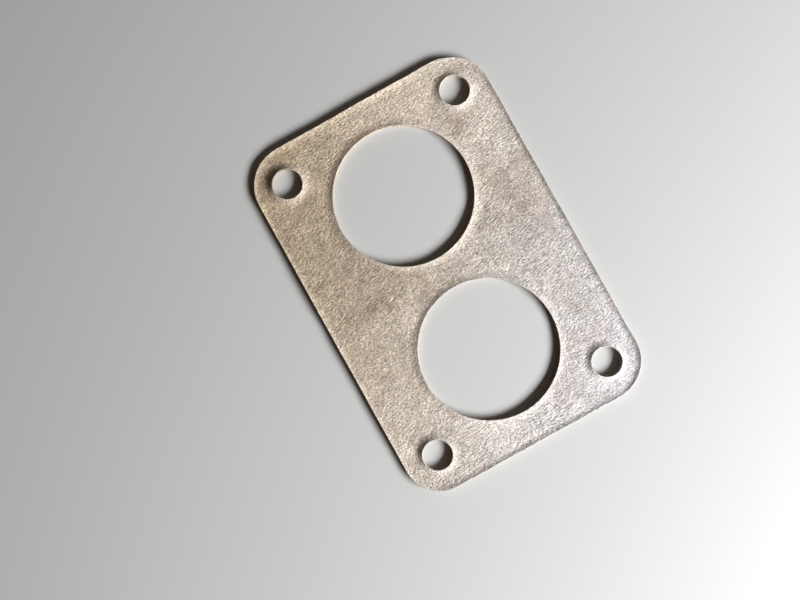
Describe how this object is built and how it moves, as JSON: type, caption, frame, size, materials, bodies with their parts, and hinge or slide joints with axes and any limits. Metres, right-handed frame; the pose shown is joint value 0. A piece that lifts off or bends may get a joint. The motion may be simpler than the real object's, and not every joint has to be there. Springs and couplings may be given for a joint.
{
  "type": "manifold gasket",
  "caption": "Flat rounded-rectangle paper gasket with twin round gas ports and a clearance hole near each corner, every cut edged by a raised lip.",
  "frame": {"origin": "middle of the underside, at the centre of the rounded rectangle", "axes": "+X along the long side, through both port centres; +Y along the short side; +Z out of the face with the raised lips"},
  "size_m": [0.114, 0.078, 0.0019],
  "materials": {
    "gasket_paper": "matte, fibrous, undyed tan paper"
  },
  "bodies": {
    "root": {"manifold_gasket": "gasket_paper"}
  },
  "joints": []
}
